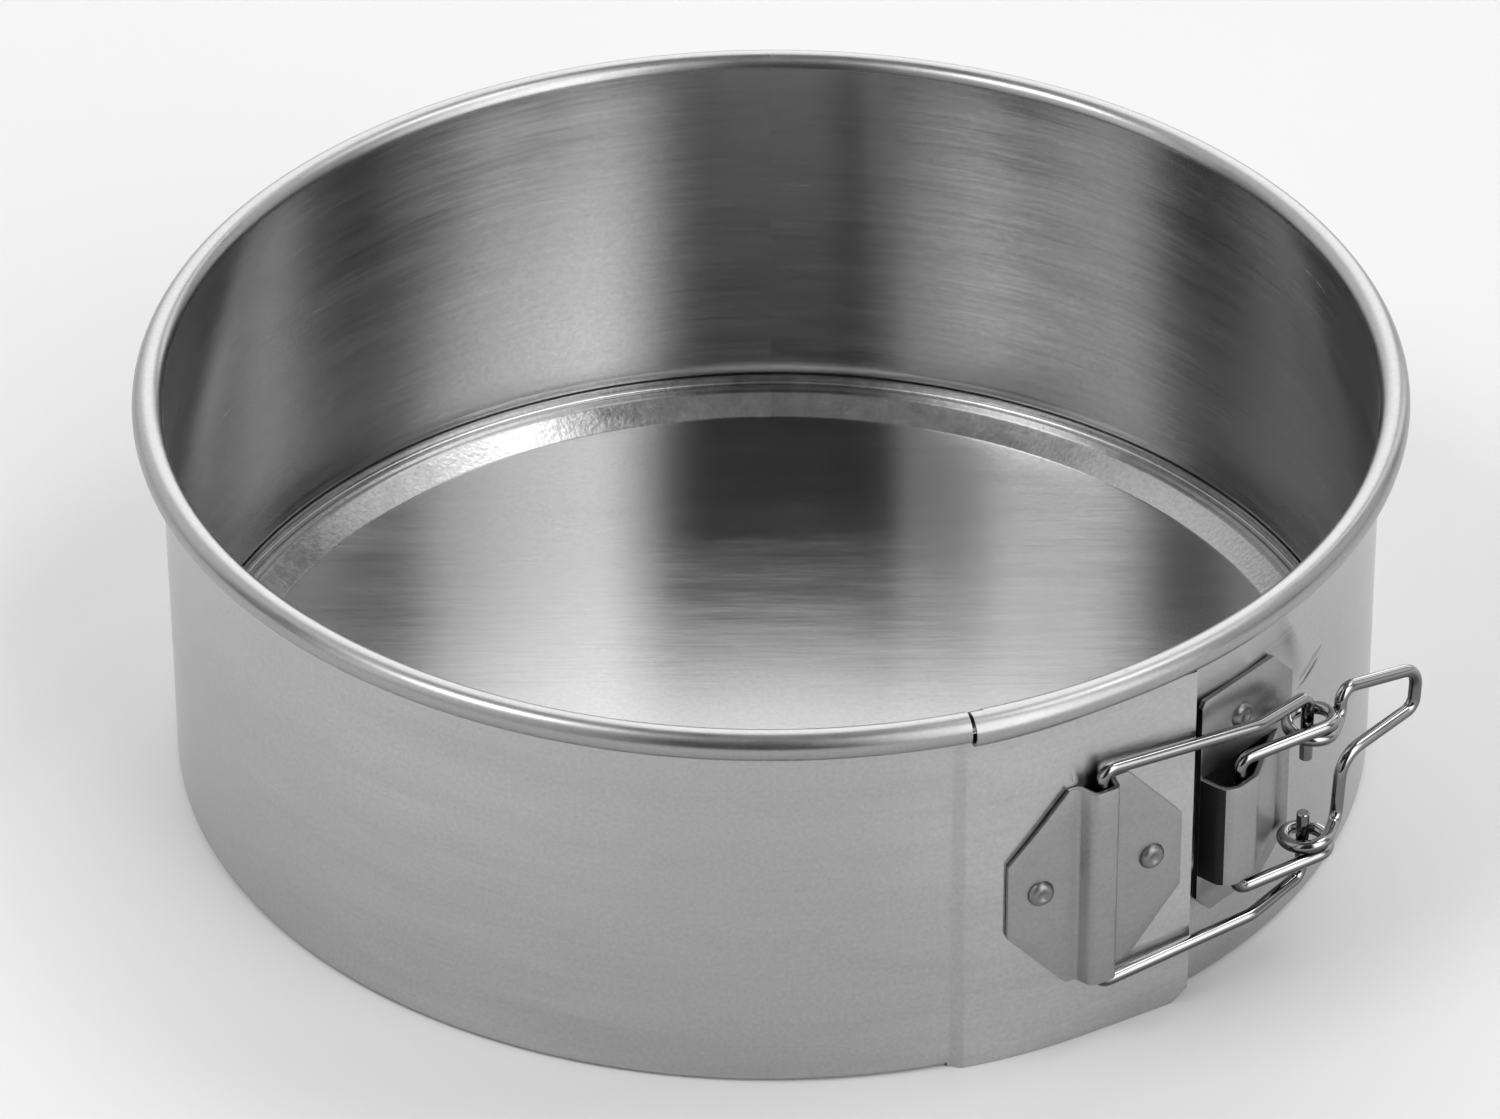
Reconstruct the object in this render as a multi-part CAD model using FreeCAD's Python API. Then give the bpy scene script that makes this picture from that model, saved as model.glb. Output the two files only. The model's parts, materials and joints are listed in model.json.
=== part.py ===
import FreeCAD, Part
import os
from math import acos, atan, cos, degrees, hypot, pi, radians, sin, tan
from FreeCAD import Vector

# Springform pan with a wire over-centre latch.
# Millimetres. Origin: centre of the pan on the surface it stands on. +Z up, -Y the front.
# Places round the wall are given as an angle from the front (-Y) towards +X.

# ---- driving dimensions ---------------------------------------------------
PAN_HEIGHT = 71.0
INSIDE_DIAMETER = 203.3          # a nominal eight inch pan
BAND_SHEET = 0.45
BASE_SHEET = 0.5
BRACKET_SHEET = 0.9
RIM_ROLL_DIAMETER = 5.1
SEAT_ROLL_DIAMETER = 2.6
WIRE_DIAMETER = 2.2

# band: where its two ends are, and the flap that laps over the other end
SPLIT_ANGLE = 17.3
JOGGLE_ANGLE = 16.4
HIDDEN_END_ANGLE = 18.6
FLAP_ANGLE = 30.0                # the flap is round up to here, then flat to its end
FLAP_RISE = 1.0                  # outer face of the flap above the wall
FLAP_FLAT_LENGTH = 18.7
FLAP_TOP = 65.2
FLAP_CHAMFER = (3.0, 2.2)        # along, up

# base disc
BASE_EDGE_RADIUS = 100.9
BASE_FLOOR_RADIUS = 92.8
BASE_SHELF_HEIGHT = 2.7
BASE_LIP_HEIGHT = 4.6

# link bracket, on the flap
LINK_BRACKET_WIDTH = 32.0
LINK_BRACKET_BOTTOM = 13.0
LINK_BRACKET_TOP = 51.0
LINK_RIVET_OFFSET = 10.3
LINK_RIVET_HEIGHT = 32.6

# lever bracket, on the hidden end's side of the wall
LEVER_BRACKET_ANGLE = 47.5
LEVER_BRACKET_LEFT = -10.4
LEVER_BRACKET_RIGHT = 12.7
LEVER_BRACKET_BOTTOM = 14.0
LEVER_BRACKET_TOP = 57.0
STRAP_BOTTOM = 22.6
STRAP_TOP = 41.9
STRAP_WINDOW = (-9.9, 8.8)       # the opening behind the strap, along
LEVER_RIVETS = [(-0.4, 49.7), (-0.4, 18.3)]

RIVET_HEAD_DIAMETER = 4.6
RIVET_HEAD_HEIGHT = 1.1
RIVET_SHANK_DIAMETER = 2.6
RIVET_TAIL_HEIGHT = 0.3
RIVET_TAIL_DIAMETER = 3.7
RIVET_HOLE_CLEARANCE = 0.05       # on the radius
BRACKET_GAP = 0.05               # between the flap's flat and the bracket on it
WING_GAP = 0.1                   # more of it under the bracket's wing on the round of the flap
WING_RIVET_GAP = 0.35            # under the wing rivet's head, which bridges the round

# wire pivots, in plan
LINK_PIVOT_OUT = 1.9             # upright of the link, out from the flap
LEVER_PIVOT_PLACE = (-5.0, 4.7)  # along and out, in the lever bracket's frame
LEVER_HEADING = 42.8             # degrees from +X, the way the closed lever points
COIL_DISTANCE = 16.26            # lever pivot to coil centre
COIL_RADIUS = 3.7                # to the wire's centre
COIL_PITCH = 2.4
HOOK_PLACE = Vector(86.7, -65.5, 0)
LINK_KINK = Vector(78.0, -75.5, 0)
RISER_OFFSET = 6.1               # coil centre to the foot of the riser

# ---- sizes that follow ----------------------------------------------------
WALL_INNER = INSIDE_DIAMETER / 2
WALL_OUTER = WALL_INNER + BAND_SHEET
WIRE_RADIUS = WIRE_DIAMETER / 2
FLAP_FACE = WALL_OUTER + FLAP_RISE
FLAP_MIDDLE = FLAP_FACE - BAND_SHEET / 2
UP = Vector(0, 0, 1)


def around(angle, radius=1.0, z=0.0):
    """A point at an angle from the front, towards +X."""
    a = radians(angle)
    return Vector(radius * sin(a), -radius * cos(a), z)


def line_and_arc_edges(points, radii):
    """Straight runs through the points, each inner corner rounded to its radius."""
    edges = []
    start = points[0]
    for i in range(1, len(points) - 1):
        corner = points[i]
        back = (points[i - 1] - corner).normalize()
        ahead = (points[i + 1] - corner).normalize()
        turn = pi - acos(max(-1.0, min(1.0, back.dot(ahead))))
        if turn < 1e-4 or radii[i - 1] <= 0:
            edges.append(Part.LineSegment(start, corner).toShape())
            start = corner
            continue
        setback = radii[i - 1] * tan(turn / 2)
        first = corner + back * setback
        last = corner + ahead * setback
        bisector = (back + ahead).normalize()
        middle = corner + bisector * (hypot(radii[i - 1], setback) - radii[i - 1])
        if (first - start).Length > 1e-4:
            edges.append(Part.LineSegment(start, first).toShape())
        edges.append(Part.Arc(first, middle, last).toShape())
        start = last
    edges.append(Part.LineSegment(start, points[-1]).toShape())
    return edges


def shifted(points, distance):
    """A flat run of points moved sideways in XY, to the left of its direction."""
    normals = []
    for a, b in zip(points, points[1:]):
        run = (b - a).normalize()
        normals.append(Vector(-run.y, run.x, 0))
    moved = [points[0] + normals[0] * distance]
    for i in range(1, len(points) - 1):
        half = (normals[i - 1] + normals[i]).normalize()
        moved.append(points[i] + half * (distance / half.dot(normals[i])))
    moved.append(points[-1] + normals[-1] * distance)
    return moved


def bent_sheet_face(points, radii, thickness):
    """The flat section of a bent sheet: points and bend radii are its middle line."""
    sides = []
    for side in (1, -1):
        distance = side * thickness / 2
        side_radii = []
        for i in range(1, len(points) - 1):
            a = points[i] - points[i - 1]
            b = points[i + 1] - points[i]
            turns_left = a.x * b.y - a.y * b.x > 0
            side_radii.append(radii[i - 1] - distance if turns_left else radii[i - 1] + distance)
        sides.append(line_and_arc_edges(shifted(points, distance), side_radii))
    ends = []
    for k in (0, -1):
        p = sides[0][k].Vertexes[k].Point
        q = sides[1][k].Vertexes[k].Point
        ends.append(Part.LineSegment(p, q).toShape())
    edges = sides[0] + sides[1] + ends
    return Part.Face(Part.Wire(Part.__sortEdges__(edges)))


def turned(face, start_angle, sweep):
    """A section drawn as (radius, height) in XY, turned about Z from an angle."""
    upright = face.copy()
    upright.rotate(Vector(0, 0, 0), Vector(1, 0, 0), 90)
    upright.rotate(Vector(0, 0, 0), UP, start_angle - 90)
    return upright.revolve(Vector(0, 0, 0), UP, sweep)


def on_wall(angle, radius, along=0.0, out=0.0, z=0.0):
    """A point in a flat frame that touches a circle at an angle: along the wall, outwards, up."""
    tangent = Vector(cos(radians(angle)), sin(radians(angle)), 0)
    return around(angle, radius + out, z) + tangent * along


def plate(angle, radius, outline, thickness):
    """A flat plate from (along, z) points, its back on the frame's plane."""
    corners = [on_wall(angle, radius, along, 0, z) for along, z in outline]
    return Part.Face(Part.makePolygon(corners + corners[:1])).extrude(around(angle, thickness))


def chamfered_outline(left, right, bottom, top, cuts):
    """A rectangle of (along, z) points; cuts are the corners' (along, z) chamfers."""
    (tl, tr, br, bl) = cuts
    return [(left, bottom + bl[1]), (left, top - tl[1]), (left + tl[0], top), (right - tr[0], top),
            (right, top - tr[1]), (right, bottom + br[1]), (right - br[0], bottom), (left + bl[0], bottom)]


def wall_strip(angle, radius, points, radii, thickness, bottom, top):
    """A bent sheet drawn in plan as (along, out) points, standing from bottom to top."""
    line = [on_wall(angle, radius, along, out) for along, out in points]
    face = bent_sheet_face(line, radii, thickness)
    face.translate(UP * bottom)
    return face.extrude(UP * (top - bottom))


def rivet_hole(angle, radius, along, z):
    start = on_wall(angle, radius, along, -6, z)
    return Part.makeCylinder(RIVET_SHANK_DIAMETER / 2 + RIVET_HOLE_CLEARANCE, 12, start, around(angle))


def rivet(angle, radius, along, z, back, front):
    """Domed head on the front face, shank, and a flat clinched tail behind the back face."""
    head = RIVET_HEAD_DIAMETER / 2
    dome = (head ** 2 + RIVET_HEAD_HEIGHT ** 2) / (2 * RIVET_HEAD_HEIGHT)
    direction = around(angle)
    ball = Part.makeSphere(dome, on_wall(angle, radius, along, front + RIVET_HEAD_HEIGHT - dome, z))
    start = on_wall(angle, radius, along, front, z)
    cap = ball.common(Part.makeCylinder(head, RIVET_HEAD_HEIGHT, start, direction))
    tail_start = on_wall(angle, radius, along, back - RIVET_TAIL_HEIGHT, z)
    tail = Part.makeCylinder(RIVET_TAIL_DIAMETER / 2, RIVET_TAIL_HEIGHT, tail_start, direction)
    shank = Part.makeCylinder(RIVET_SHANK_DIAMETER / 2, front - back + 0.2,
                              on_wall(angle, radius, along, back - 0.1, z), direction)
    return cap.fuse([tail, shank]).removeSplitter()


def wire_rod(points, radii):
    """A round wire along straight runs with bent corners."""
    path = Part.Wire(line_and_arc_edges(points, radii))
    direction = (points[1] - points[0]).normalize()
    section = Part.Wire(Part.Circle(points[0], direction, WIRE_RADIUS).toShape())
    rod = path.makePipeShell([section], True, False)
    print("wire volume / section x length:", rod.Volume / (pi * WIRE_RADIUS ** 2 * path.Length))
    return rod


def rolled_profile(with_seat, lowest=None):
    """Wall with its rim rolled outwards and, at the bottom, the seat rolled inwards."""
    middle = (WALL_INNER + WALL_OUTER) / 2
    half = BAND_SHEET / 2
    rim = RIM_ROLL_DIAMETER / 2 - half
    seat = SEAT_ROLL_DIAMETER / 2 - half
    top = PAN_HEIGHT - half
    rim_points = [Vector(middle, top, 0),
                  Vector(middle + 2 * rim, top, 0),
                  Vector(middle + 2 * rim, top - 2 * rim, 0),
                  Vector(middle + 0.8 * rim, top - 2 * rim, 0)]
    seat_points = [Vector(middle - 0.8 * seat, half + 2 * seat, 0),
                   Vector(middle - 2 * seat, half + 2 * seat, 0),
                   Vector(middle - 2 * seat, half, 0),
                   Vector(middle, half, 0)]
    if with_seat:
        return bent_sheet_face(seat_points + rim_points, [seat] * 3 + [rim] * 3, BAND_SHEET)
    return bent_sheet_face([Vector(middle, lowest, 0)] + rim_points, [rim] * 3, BAND_SHEET)


def link_rivet_places():
    """Angle, radius, along and height of the link bracket's rivets: one on the round, one on the flat."""
    left_angle = FLAP_ANGLE - degrees(LINK_RIVET_OFFSET / FLAP_FACE)
    return [(left_angle, FLAP_FACE, 0.0, LINK_RIVET_HEIGHT),
            (FLAP_ANGLE, FLAP_FACE, LINK_RIVET_OFFSET, LINK_RIVET_HEIGHT)]


def flap_points():
    """Middle line of the joggle, the round part of the flap and its flat end, in plan."""
    middle = (WALL_INNER + WALL_OUTER) / 2
    start = SPLIT_ANGLE - 0.2
    half_arc = (FLAP_ANGLE - start) / 2
    corner = around(FLAP_ANGLE - half_arc, FLAP_MIDDLE / cos(radians(half_arc)))
    return [around(JOGGLE_ANGLE - 0.4, middle), around(JOGGLE_ANGLE, middle),
            around(start, FLAP_MIDDLE), corner, on_wall(FLAP_ANGLE, FLAP_MIDDLE, FLAP_FLAT_LENGTH)]


def side_band():
    full = turned(rolled_profile(True), HIDDEN_END_ANGLE, 360 + JOGGLE_ANGLE - HIDDEN_END_ANGLE)
    rim_only = rolled_profile(False, FLAP_TOP + 0.4)
    left_rim = turned(rim_only, JOGGLE_ANGLE, SPLIT_ANGLE - 0.15 - JOGGLE_ANGLE)
    right_rim = turned(rim_only, SPLIT_ANGLE + 0.15, HIDDEN_END_ANGLE - SPLIT_ANGLE - 0.15)
    flap = bent_sheet_face(flap_points(), [1.5, 1.5, 0.94 * FLAP_MIDDLE], BAND_SHEET).extrude(UP * FLAP_TOP)
    along, up = FLAP_CHAMFER
    corner = [on_wall(FLAP_ANGLE, FLAP_FACE, FLAP_FLAT_LENGTH, -4, 0),
              on_wall(FLAP_ANGLE, FLAP_FACE, FLAP_FLAT_LENGTH, -4, up),
              on_wall(FLAP_ANGLE, FLAP_FACE, FLAP_FLAT_LENGTH - along, -4, 0)]
    flap = flap.cut(Part.Face(Part.makePolygon(corner + corner[:1])).extrude(around(FLAP_ANGLE, 8)))
    band = full.fuse([left_rim, right_rim, flap])
    holes = [rivet_hole(*place) for place in link_rivet_places()]
    holes += [rivet_hole(LEVER_BRACKET_ANGLE, WALL_OUTER, along, z) for along, z in LEVER_RIVETS]
    return band.cut(holes).removeSplitter()


def base_disc():
    half = BASE_SHEET / 2
    points = [Vector(BASE_EDGE_RADIUS - half, BASE_LIP_HEIGHT, 0),
              Vector(BASE_EDGE_RADIUS - half, BASE_SHELF_HEIGHT + half, 0),
              Vector(BASE_FLOOR_RADIUS + 4.8, BASE_SHELF_HEIGHT + half, 0),
              Vector(BASE_FLOOR_RADIUS + 0.3, half, 0), Vector(0, half, 0)]
    return turned(bent_sheet_face(points, [0.8, 1.0, 1.2], BASE_SHEET), 180, 360)


def link_bracket():
    """Octagonal plate with a full-height channel that holds the link's upright."""
    half = LINK_BRACKET_WIDTH / 2
    low = BRACKET_SHEET / 2 + BRACKET_GAP
    crest = 3.6
    wing = FLAP_FACE + low
    foot = -3.4
    drop = wing - (wing ** 2 - half ** 2) ** 0.5 - WING_GAP
    foot_drop = wing - (wing ** 2 - foot ** 2) ** 0.5 - WING_GAP
    slope = foot / wing
    middle = (-half + foot) / 2
    section = [(-half, low - drop), (middle, low - foot_drop + slope * (foot - middle)),
               (foot, low - foot_drop), (-2.2, crest), (1.9, crest), (2.6, low), (half, low)]
    sheet = wall_strip(FLAP_ANGLE, FLAP_FACE, section, [44.0, 1.2, 1.0, 0.9, 0.9], BRACKET_SHEET,
                       LINK_BRACKET_BOTTOM, LINK_BRACKET_TOP)
    cut = (half - 5.5, 12.0)
    outline = chamfered_outline(-half, half, LINK_BRACKET_BOTTOM, LINK_BRACKET_TOP, [cut] * 4)
    sheet = sheet.common(plate(FLAP_ANGLE, FLAP_FACE - 4, outline, 12))
    return sheet.cut([rivet_hole(*place) for place in link_rivet_places()])


def lever_bracket():
    """Flat plate with a strap raised from it, open above and below, that holds the lever's ends."""
    low = BRACKET_SHEET / 2
    crest = 6.55
    outline = chamfered_outline(LEVER_BRACKET_LEFT, LEVER_BRACKET_RIGHT, LEVER_BRACKET_BOTTOM,
                                LEVER_BRACKET_TOP, [(0.8, 1.2), (5.2, 5.4), (6.7, 6.7), (3.7, 3.9)])
    sheet = plate(LEVER_BRACKET_ANGLE, WALL_OUTER, outline, BRACKET_SHEET)
    near, far = STRAP_WINDOW
    window = [(near, STRAP_BOTTOM), (near, STRAP_TOP), (far, STRAP_TOP), (far, STRAP_BOTTOM)]
    opening = plate(LEVER_BRACKET_ANGLE, WALL_OUTER - 1, window, 6)
    section = [(LEVER_BRACKET_LEFT, low), (-9.95, low), (-9.6, crest),
               (-3.2, crest), (9.2, low), (11.0, low)]
    strap = wall_strip(LEVER_BRACKET_ANGLE, WALL_OUTER, section, [0.2, 2.7, 2.4, 1.6], BRACKET_SHEET,
                       STRAP_BOTTOM, STRAP_TOP)
    strap = strap.common(plate(LEVER_BRACKET_ANGLE, WALL_OUTER, outline, 9))
    sheet = sheet.cut(opening).fuse(strap).removeSplitter()
    for along, z in LEVER_RIVETS:
        sheet = sheet.cut(rivet_hole(LEVER_BRACKET_ANGLE, WALL_OUTER, along, z))
    return sheet


LINK_PIVOT = around(FLAP_ANGLE, FLAP_FACE + LINK_PIVOT_OUT)
LEVER_PIVOT = on_wall(LEVER_BRACKET_ANGLE, WALL_OUTER, *LEVER_PIVOT_PLACE)


def link_wire():
    """The bail: an upright in the link bracket, two arms, and two hooks that point at each other."""
    upper = [HOOK_PLACE + UP * 37.8, HOOK_PLACE + UP * 50.2, LINK_KINK + UP * 51.4, LINK_PIVOT + UP * 53.8]
    lower = [LINK_PIVOT + UP * 11.3, LINK_KINK + UP * 13.6, HOOK_PLACE + UP * 14.4, HOOK_PLACE + UP * 26.9]
    return wire_rod(upper + lower, [2.2, 6.0, 2.0, 2.0, 6.0, 2.2])


def on_lever(along, out, z):
    """A point in the closed lever's own frame: along it, outwards, up."""
    a = radians(LEVER_HEADING)
    return LEVER_PIVOT + Vector(cos(a), sin(a), 0) * along + Vector(sin(a), -cos(a), 0) * out + UP * z


def lever_half(end_z, arm_z, coil_z, coil_rise):
    """One end of the lever: pivot, arm, just over a turn of coil, and the foot of the riser."""
    steps = 9
    step = 45.0
    tilt = degrees(atan(COIL_RADIUS / COIL_DISTANCE))
    points = [on_lever(0, 0, end_z), on_lever(0, 0, arm_z)]
    corner_radius = COIL_RADIUS / cos(radians(step / 2))
    for i in range(steps):
        heading = 90 + tilt - step * (i + 0.5)
        a = radians(heading)
        points.append(on_lever(COIL_DISTANCE + corner_radius * cos(a), corner_radius * sin(a),
                               coil_z + coil_rise * i / (steps - 1)))
    points.append(on_lever(COIL_DISTANCE + RISER_OFFSET, 0.9, coil_z + coil_rise))
    return points, [2.0] + [COIL_RADIUS - 0.06] * steps


def lever_wire():
    """The lever: two pivot ends, two coils round the link's hooks, and a finger loop."""
    upper, upper_radii = lever_half(37.0, 44.9, 45.6, -COIL_PITCH)
    lower, lower_radii = lever_half(27.0, 18.9, 20.0, COIL_PITCH)
    loop = [on_lever(22.8, 0.5, 48.3), on_lever(41.0, 0.5, 43.7), on_lever(40.5, 0.5, 36.2),
            on_lever(23.7, 0.5, 34.2)]
    points = upper + loop + lower[::-1]
    return wire_rod(points, upper_radii + [2.4, 2.3, 4.0, 2.2, 5.0, 2.6] + lower_radii[::-1])


def build():
    shapes = {
        "side_band": side_band(),
        "base_disc": base_disc(),
        "link_bracket": link_bracket(),
        "lever_bracket": lever_bracket(),
        "link_wire": link_wire(),
        "lever_wire": lever_wire(),
    }
    fronts = (BRACKET_SHEET + WING_RIVET_GAP, BRACKET_SHEET + BRACKET_GAP)
    for name, place, front in zip(("link_rivet_left", "link_rivet_right"), link_rivet_places(), fronts):
        shapes[name] = rivet(*place, -BAND_SHEET - 0.06, front)
    for name, (along, z) in zip(("lever_rivet_upper", "lever_rivet_lower"), LEVER_RIVETS):
        reach = abs(along) + RIVET_TAIL_DIAMETER / 2
        back = (WALL_INNER ** 2 - reach ** 2) ** 0.5 - WALL_OUTER - 0.01
        shapes[name] = rivet(LEVER_BRACKET_ANGLE, WALL_OUTER, along, z, back, BRACKET_SHEET)
    return shapes


os.makedirs("parts", exist_ok=True)
for name, shape in build().items():
    print(name, shape.isValid(), len(shape.Solids), round(shape.Volume, 1), shape.BoundBox)
    shape.exportStep("parts/" + name + ".step")
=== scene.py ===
import json
import bmesh
import bpy
from math import acos, atan, ceil, cos, degrees, hypot, pi, radians, sin, sqrt, tan
from mathutils import Matrix, Vector, noise


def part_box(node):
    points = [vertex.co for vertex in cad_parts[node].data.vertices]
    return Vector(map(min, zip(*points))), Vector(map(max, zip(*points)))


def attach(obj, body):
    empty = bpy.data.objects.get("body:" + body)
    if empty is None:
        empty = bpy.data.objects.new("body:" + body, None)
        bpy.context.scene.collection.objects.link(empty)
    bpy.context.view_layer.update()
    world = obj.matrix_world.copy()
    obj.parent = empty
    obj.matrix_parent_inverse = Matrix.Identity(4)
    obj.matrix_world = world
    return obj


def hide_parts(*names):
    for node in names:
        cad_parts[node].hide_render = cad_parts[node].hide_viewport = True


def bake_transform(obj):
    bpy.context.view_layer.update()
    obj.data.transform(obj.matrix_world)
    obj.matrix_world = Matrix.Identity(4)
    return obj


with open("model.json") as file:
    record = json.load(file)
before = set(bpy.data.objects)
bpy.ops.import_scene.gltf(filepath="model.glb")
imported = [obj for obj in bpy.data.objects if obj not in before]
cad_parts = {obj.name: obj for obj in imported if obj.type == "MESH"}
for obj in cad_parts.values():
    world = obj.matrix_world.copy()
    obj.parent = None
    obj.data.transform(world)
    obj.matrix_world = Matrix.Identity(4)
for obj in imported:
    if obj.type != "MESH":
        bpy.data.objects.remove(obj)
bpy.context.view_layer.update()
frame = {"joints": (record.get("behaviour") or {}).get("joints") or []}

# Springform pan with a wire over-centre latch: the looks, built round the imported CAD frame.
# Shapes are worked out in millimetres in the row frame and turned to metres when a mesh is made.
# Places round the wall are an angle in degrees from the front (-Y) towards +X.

MM = 0.001

# ---- sizes from the frame ---------------------------------------------------


def node_box(node):
    low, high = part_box(node)
    return low / MM, high / MM


def joint_place(name):
    joint = next(j for j in frame["joints"] if j["name"] == name)
    x, y, _ = joint["pos_m"]
    return Vector((x, y, 0)) / MM


BAND_SHEET = 0.45
BASE_SHEET = 0.5
BRACKET_SHEET = 0.9
RIM_ROLL_DIAMETER = 5.1
SEAT_ROLL_DIAMETER = 2.6
WIRE_RADIUS = 1.1

PAN_HEIGHT = node_box("side_band")[1].z
WALL_OUTER = node_box("side_band")[1].x - RIM_ROLL_DIAMETER + BAND_SHEET
WALL_INNER = WALL_OUTER - BAND_SHEET
WALL_MIDDLE = (WALL_OUTER + WALL_INNER) / 2
BASE_EDGE = node_box("base_disc")[1].x
LINK_PIVOT = joint_place("link_pivot")
HOOK = joint_place("lever_swing")

# ---- sizes of the latch and the lap, as in the CAD part -----------------------
SPLIT_ANGLE = 17.3
JOGGLE_ANGLE = 16.4
HIDDEN_END_ANGLE = 18.6
FLAP_ANGLE = 30.0
FLAP_FACE = WALL_OUTER + 1.0
FLAP_MIDDLE = FLAP_FACE - BAND_SHEET / 2
FLAP_FLAT_LENGTH = 18.7
FLAP_TOP = 65.2
FLAP_CHAMFER = (3.0, 2.2)
RIM_CUT = FLAP_TOP + 0.4         # bottom of the short rim-only stretches beside the split
RIM_END_SWELL = 0.3              # added to the roll's radius at the split
RIM_END_REACH = 33.0             # the angle where that has died out

BASE_FLOOR_RADIUS = 92.8
BASE_SHELF_HEIGHT = 2.7
BASE_LIP_HEIGHT = 4.6

# a low ridge inside the wall, which hides the sliding gap between it and the base's lip
RIDGE_HEIGHT = 5.1
RIDGE_REACH = 1.6
RIDGE_DEPTH = 0.5
RIDGE_LEVELS = [3.9, 4.5, RIDGE_HEIGHT, 5.7, 6.4, 7.3]

LINK_BRACKET_HALF = 16.0
LINK_BRACKET_BOTTOM = 13.0
LINK_BRACKET_TOP = 51.0
LINK_RIVET_OFFSET = 10.3
LINK_RIVET_HEIGHT = 32.6

LEVER_BRACKET_ANGLE = 47.5
LEVER_BRACKET_LEFT = -10.4
LEVER_BRACKET_RIGHT = 12.7
LEVER_BRACKET_BOTTOM = 14.0
LEVER_BRACKET_TOP = 57.0
STRAP_BOTTOM = 22.6
STRAP_TOP = 41.9
STRAP_WINDOW = (-9.9, 8.8)
LEVER_RIVETS = [(-0.4, 49.7), (-0.4, 18.3)]
LEVER_PIVOT_PLACE = (-5.0, 4.7)
LEVER_HEADING = 42.8
COIL_DISTANCE = 16.26
COIL_RADIUS = 3.7
COIL_PITCH = 2.4
RISER_OFFSET = 6.1
LINK_KINK = Vector((78.0, -75.5, 0))

UP = Vector((0, 0, 1))


# ---- places -------------------------------------------------------------------


def around(angle, radius=1.0, z=0.0):
    """A point at an angle from the front, towards +X."""
    a = radians(angle)
    return Vector((radius * sin(a), -radius * cos(a), z))


def on_wall(angle, radius, along=0.0, out=0.0, z=0.0):
    """A point in a flat frame that touches a circle at an angle: along the wall, outwards, up."""
    tangent = Vector((cos(radians(angle)), sin(radians(angle)), 0))
    return around(angle, radius + out, z) + tangent * along


# ---- lines --------------------------------------------------------------------


def rounded(points, radii, step=8.0):
    """Straight runs through 3D points, each inner corner rounded to its radius, as a dense list."""
    line = [points[0]]
    for i in range(1, len(points) - 1):
        corner = points[i]
        back = (points[i - 1] - corner).normalized()
        ahead = (points[i + 1] - corner).normalized()
        turn = pi - acos(max(-1.0, min(1.0, back.dot(ahead))))
        radius = radii[i - 1]
        if turn < 1e-3 or radius <= 0:
            line.append(corner)
            continue
        setback = radius * tan(turn / 2)
        bisector = (back + ahead).normalized()
        centre = corner + bisector * hypot(radius, setback)
        first = corner + back * setback - centre
        axis = first.cross(corner + ahead * setback - centre).normalized()
        count = max(2, ceil(degrees(turn) / step))
        for k in range(count + 1):
            line.append(centre + Matrix.Rotation(turn * k / count, 3, axis) @ first)
    line.append(points[-1])
    return line


def divided(line, longest):
    """The same line with its long runs cut into even pieces."""
    result = [line[0]]
    for a, b in zip(line, line[1:]):
        count = max(1, ceil((b - a).length / longest))
        result += [a.lerp(b, (k + 1) / count) for k in range(count)]
    return result


def spiral(centre, radius, start, sweep, step=12.0, tighten=0.0):
    """Points of an arc in a (radius, height) section; it tightens by a share of its radius per turn."""
    count = max(2, ceil(abs(sweep) / step))
    points = []
    for k in range(count + 1):
        a = radians(start + sweep * k / count)
        r = radius * (1 - tighten * abs(sweep) * k / count / 360)
        points.append(Vector((centre[0] + r * cos(a), centre[1] + r * sin(a))))
    return points


def sheet_loop(line, thickness):
    """The closed outline of a bent sheet from its 2D middle line."""
    left, right = [], []
    for i, p in enumerate(line):
        a = line[max(i - 1, 0)]
        b = line[min(i + 1, len(line) - 1)]
        run = (b - a).normalized()
        normal = Vector((-run.y, run.x)) * thickness / 2
        left.append(p + normal)
        right.append(p - normal)
    return left + right[::-1]


# ---- meshes -------------------------------------------------------------------


def new_object(name, vertices, faces, sharp=35.0):
    """A mesh object from millimetre points, smooth but for its sharp edges."""
    mesh = bpy.data.meshes.new(name)
    mesh.from_pydata([tuple(v * MM) for v in vertices], [], faces)
    work = bmesh.new()
    work.from_mesh(mesh)
    bmesh.ops.remove_doubles(work, verts=work.verts, dist=1e-7)
    bmesh.ops.recalc_face_normals(work, faces=work.faces)
    work.to_mesh(mesh)
    work.free()
    piece = bpy.data.objects.new(name, mesh)
    bpy.context.collection.objects.link(piece)
    smooth(piece, sharp)
    return piece


def smooth(piece, sharp=35.0):
    piece.data.polygons.foreach_set("use_smooth", [True] * len(piece.data.polygons))
    piece.data.set_sharp_from_angle(angle=radians(sharp))


def tube_grid(loops, closed=False):
    """Vertices and faces that join a row of equal closed loops; the ends are capped unless it closes."""
    count = len(loops[0])
    vertices = [v for loop in loops for v in loop]
    faces = []
    rows = len(loops)
    for i in range(rows if closed else rows - 1):
        j = (i + 1) % rows
        for k in range(count):
            m = (k + 1) % count
            faces.append((i * count + k, i * count + m, j * count + m, j * count + k))
    if not closed:
        faces.append(tuple(range(count))[::-1])
        faces.append(tuple(range((rows - 1) * count, rows * count)))
    return vertices, faces


def strip_ends(loops):
    """As tube_grid, for loops made by sheet_loop: each end is closed by a row of quads, not one face."""
    count = len(loops[0])
    vertices, faces = tube_grid(loops)
    faces = faces[:-2]
    for base, flip in ((0, False), ((len(loops) - 1) * count, True)):
        for k in range(count // 2 - 1):
            quad = (base + k, base + k + 1, base + count - 2 - k, base + count - 1 - k)
            faces.append(quad[::-1] if flip else quad)
    return vertices, faces


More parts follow.
